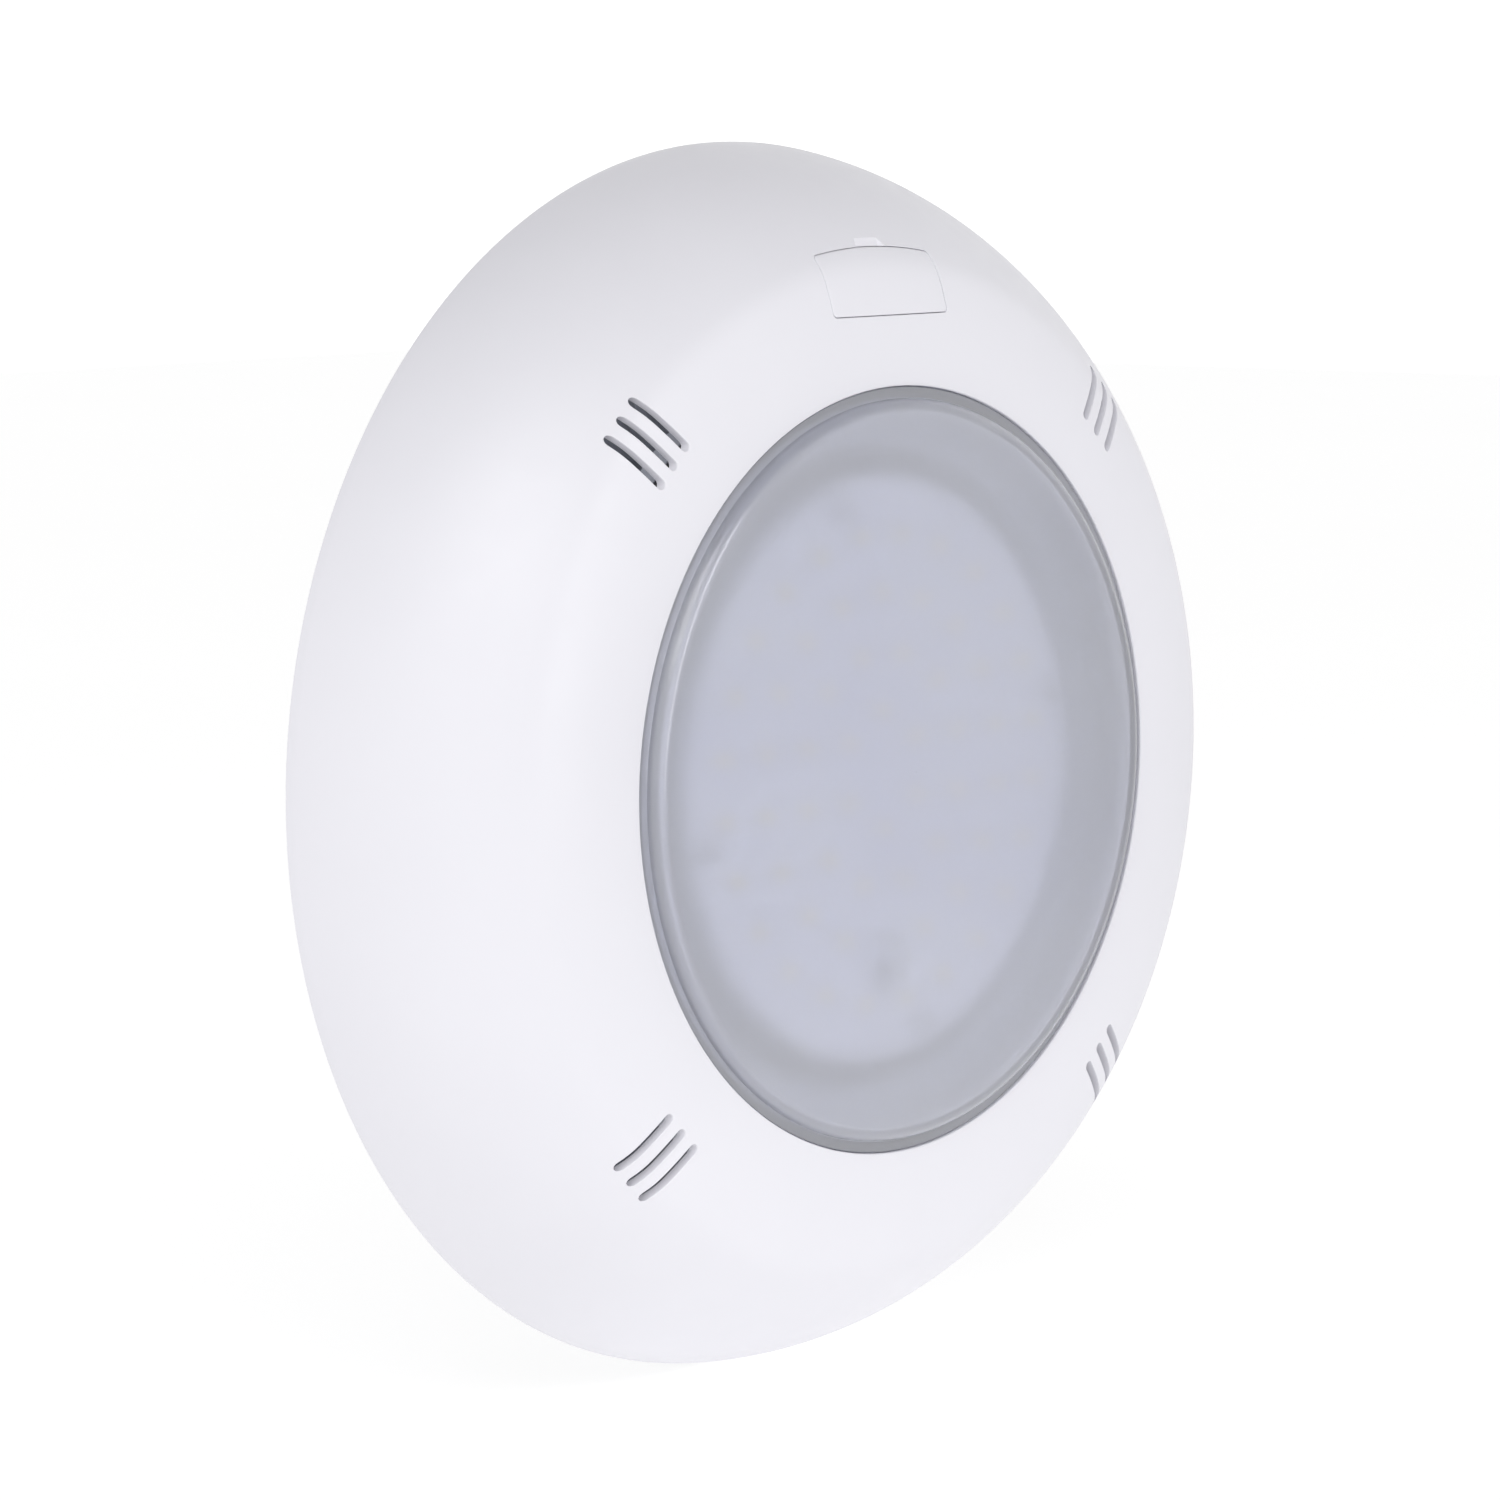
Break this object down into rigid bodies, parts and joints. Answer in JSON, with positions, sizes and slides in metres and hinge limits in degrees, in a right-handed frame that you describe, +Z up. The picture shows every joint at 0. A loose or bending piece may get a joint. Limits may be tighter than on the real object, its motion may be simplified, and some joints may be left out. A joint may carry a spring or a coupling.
{
  "type": "underwater pool light",
  "caption": "Flat round underwater light: domed bezel with cooling slots and screw cover, frosted lens, sealed LED unit and wall plate; tilts on a lower pin to come off.",
  "frame": {"origin": "centre of the wall plate's back face, on the axis of the light, where it meets the wall", "axes": "+Y into the wall, -Y out of the front of the light, +Z up towards the screw cover, +X to the right as seen from the front"},
  "size_m": [0.296, 0.0622, 0.296],
  "materials": {
    "white_plastic": "satin moulded, very fine grain",
    "lens_plastic": "frosted translucent, smooth outside",
    "grey_plastic": "moulded, faint flow lines",
    "black_plastic": "moulded, glass filled",
    "seal_rubber": "soft matt",
    "stainless": "drawn and turned",
    "spreader_aluminium": "rolled",
    "thermal_silicone": "soft matt",
    "white_board": "white solder mask",
    "led_phosphor": "silicone dome",
    "spacer_brass": "turned",
    "green_board": "green solder mask",
    "ferrite": "coated",
    "copper_wire": "enamelled",
    "capacitor_sleeve": "shrink sleeve",
    "chip_resin": "moulded resin",
    "terminal_plastic": "moulded",
    "wire_sleeve": "soft white silicone sleeve",
    "nylon": "natural nylon"
  },
  "bodies": {
    "wall_bracket": {"wall_plate": "grey_plastic", "clip_nut": "stainless"},
    "lamp": {"bezel": "white_plastic", "pivot_pin": "stainless", "pin_clips": "stainless", "bezel_screws": "stainless", "housing": "grey_plastic", "lens_gasket": "seal_rubber", "lens": "lens_plastic", "clamp_ring": "black_plastic", "clamp_screws": "stainless", "heat_spreader": "spreader_aluminium", "thermal_pad": "thermal_silicone", "led_board": "white_board", "led_chips": "led_phosphor", "board_standoffs": "spacer_brass", "board_screws": "stainless", "driver_board": "green_board", "driver_screws": "stainless", "toroid_core": "ferrite", "toroid_winding": "copper_wire", "capacitors": "capacitor_sleeve", "rectifier": "chip_resin", "driver_chips": "chip_resin", "terminal_block": "terminal_plastic", "terminal_screws": "stainless", "lead_wires": "wire_sleeve", "gland_body": "black_plastic", "gland_seal": "seal_rubber", "gland_locknut": "black_plastic", "gland_grommet": "seal_rubber", "gland_nut": "black_plastic"},
    "screw_carrier": {"retaining_washer": "nylon"},
    "screw": {"fixing_screw": "stainless"},
    "cover": {"screw_cover": "white_plastic"}
  },
  "joints": [
    {"name": "lamp_tilt", "type": "hinge", "parent": "wall_bracket", "child": "lamp", "pos_m": [0, -0.009, -0.132], "axis": [1, 0, 0], "range_deg": [0, 8.5]},
    {"name": "screw_travel", "type": "slide", "parent": "lamp", "child": "screw_carrier", "axis": [0, -1, 0], "range_m": [0, 0.008]},
    {"name": "screw_turn", "type": "hinge", "parent": "screw_carrier", "child": "screw", "pos_m": [0, -0.034, 0.1156], "axis": [0, -1, 0], "range_deg": [0, 3604]},
    {"name": "cover_slide", "type": "slide", "parent": "lamp", "child": "cover", "axis": [0, -1, 0], "range_m": [0, 0.022]}
  ],
  "couplings": [
    {"joint": "screw_turn", "follows": "screw_travel", "rad_per_m": 7854}
  ]
}
